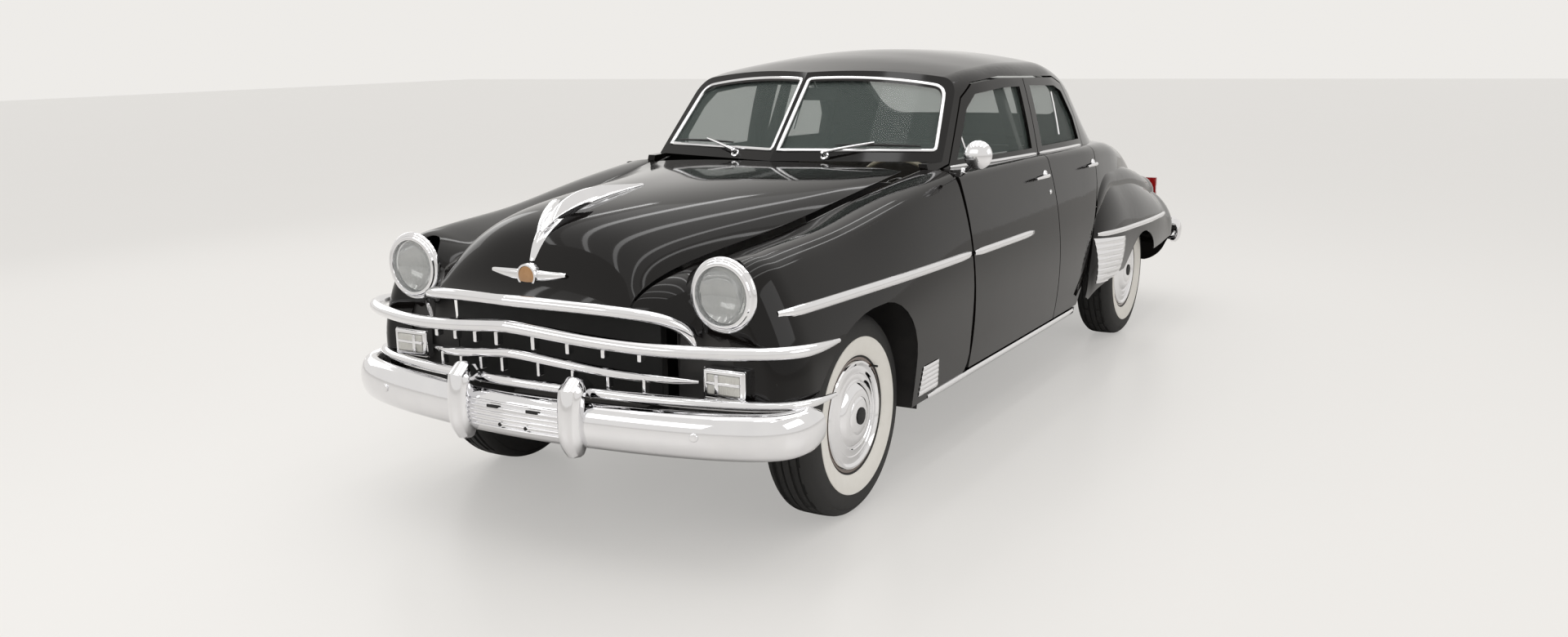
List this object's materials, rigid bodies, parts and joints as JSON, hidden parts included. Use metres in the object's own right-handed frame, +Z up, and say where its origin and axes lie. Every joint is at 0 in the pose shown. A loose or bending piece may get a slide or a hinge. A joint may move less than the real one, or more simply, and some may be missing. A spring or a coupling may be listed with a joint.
{
  "type": "four-door sedan car",
  "caption": "Black 1950s family sedan with opening doors, hood and trunk lid, steered front wheels and chrome front end.",
  "frame": {"origin": "centre of the bounding box's base, on the ground under the middle of the car", "axes": "+X to the car's left side, -Y forward, +Z up"},
  "size_m": [1.8834, 5.29, 1.5679],
  "materials": {
    "paint": "gloss",
    "chrome": "polished",
    "glass": "clear",
    "rubber": "matte",
    "rim_paint": "gloss",
    "black_steel": "satin",
    "cloth": "matte",
    "ivory": "gloss",
    "steel": "satin",
    "lamp_red": "clear"
  },
  "bodies": {
    "body": {"body_shell": "paint", "front_fenders": "paint", "rear_fenders": "paint", "chassis_frame": "black_steel", "floor_pan": "black_steel", "door_pillars": "paint", "windscreen_frame": "chrome", "fixed_glass": "glass", "grille": "chrome", "radiator": "black_steel", "front_bumper": "chrome", "rear_bumper": "chrome", "headlamp_rims": "chrome", "headlamp_lenses": "glass", "parking_lamps": "chrome", "tail_lamps": "lamp_red", "front_seat": "cloth", "rear_seat": "cloth", "dashboard": "paint", "steering_column": "black_steel", "engine_block": "steel", "front_suspension": "black_steel", "rear_axle_and_springs": "black_steel", "propeller_shaft": "steel", "exhaust_pipe": "steel", "fuel_tank": "black_steel"},
    "front_left_door": {"front_left_door": "paint", "front_left_door_glass": "glass"},
    "rear_left_door": {"rear_left_door": "paint", "rear_left_door_glass": "glass"},
    "front_left_knuckle": {"front_left_knuckle": "black_steel"},
    "front_left_wheel": {"front_left_wheel": "rim_paint", "front_left_tyre": "rubber"},
    "rear_left_wheel": {"rear_left_wheel": "rim_paint", "rear_left_tyre": "rubber"},
    "front_right_door": {"front_right_door": "paint", "front_right_door_glass": "glass"},
    "rear_right_door": {"rear_right_door": "paint", "rear_right_door_glass": "glass"},
    "front_right_knuckle": {"front_right_knuckle": "black_steel"},
    "front_right_wheel": {"front_right_wheel": "rim_paint", "front_right_tyre": "rubber"},
    "rear_right_wheel": {"rear_right_wheel": "rim_paint", "rear_right_tyre": "rubber"},
    "hood": {"hood": "paint"},
    "trunk_lid": {"trunk_lid": "paint"},
    "steering_wheel": {"steering_wheel": "ivory"}
  },
  "joints": [
    {"name": "front_left_door_hinge", "type": "hinge", "parent": "body", "child": "front_left_door", "pos_m": [0.878, -0.907, 0.7], "axis": [0, 0, -1], "range_deg": [0, 65]},
    {"name": "rear_left_door_hinge", "type": "hinge", "parent": "body", "child": "rear_left_door", "pos_m": [0.878, 0.137, 0.7], "axis": [0, 0, -1], "range_deg": [0, 65]},
    {"name": "front_left_steer", "type": "hinge", "parent": "body", "child": "front_left_knuckle", "pos_m": [0.6, -1.785, 0.355], "axis": [0, 0, 1], "range_deg": [-25, 25]},
    {"name": "front_left_wheel_spin", "type": "hinge", "parent": "front_left_knuckle", "child": "front_left_wheel", "pos_m": [0.715, -1.785, 0.355], "axis": [1, 0, 0], "continuous": true},
    {"name": "rear_left_wheel_spin", "type": "hinge", "parent": "body", "child": "rear_left_wheel", "pos_m": [0.76, 1.403, 0.355], "axis": [1, 0, 0], "continuous": true},
    {"name": "front_right_door_hinge", "type": "hinge", "parent": "body", "child": "front_right_door", "pos_m": [-0.878, -0.907, 0.7], "axis": [0, 0, 1], "range_deg": [0, 65]},
    {"name": "rear_right_door_hinge", "type": "hinge", "parent": "body", "child": "rear_right_door", "pos_m": [-0.878, 0.137, 0.7], "axis": [0, 0, 1], "range_deg": [0, 65]},
    {"name": "front_right_steer", "type": "hinge", "parent": "body", "child": "front_right_knuckle", "pos_m": [-0.6, -1.785, 0.355], "axis": [0, 0, 1], "range_deg": [-25, 25]},
    {"name": "front_right_wheel_spin", "type": "hinge", "parent": "front_right_knuckle", "child": "front_right_wheel", "pos_m": [-0.715, -1.785, 0.355], "axis": [1, 0, 0], "continuous": true},
    {"name": "rear_right_wheel_spin", "type": "hinge", "parent": "body", "child": "rear_right_wheel", "pos_m": [-0.76, 1.403, 0.355], "axis": [1, 0, 0], "continuous": true},
    {"name": "hood_hinge", "type": "hinge", "parent": "body", "child": "hood", "pos_m": [0, -0.985, 1.134], "axis": [-1, 0, 0], "range_deg": [0, 50]},
    {"name": "trunk_hinge", "type": "hinge", "parent": "body", "child": "trunk_lid", "pos_m": [0, 1.414, 1.102], "axis": [1, 0, 0], "range_deg": [0, 65]},
    {"name": "steering_wheel_turn", "type": "hinge", "parent": "body", "child": "steering_wheel", "pos_m": [0.37, -0.44, 0.93], "axis": [0, 0.848, 0.5299], "range_deg": [-400, 400]}
  ],
  "couplings": [
    {"joint": "front_right_steer", "follows": "front_left_steer", "ratio": 1},
    {"joint": "steering_wheel_turn", "follows": "front_left_steer", "ratio": 16}
  ]
}
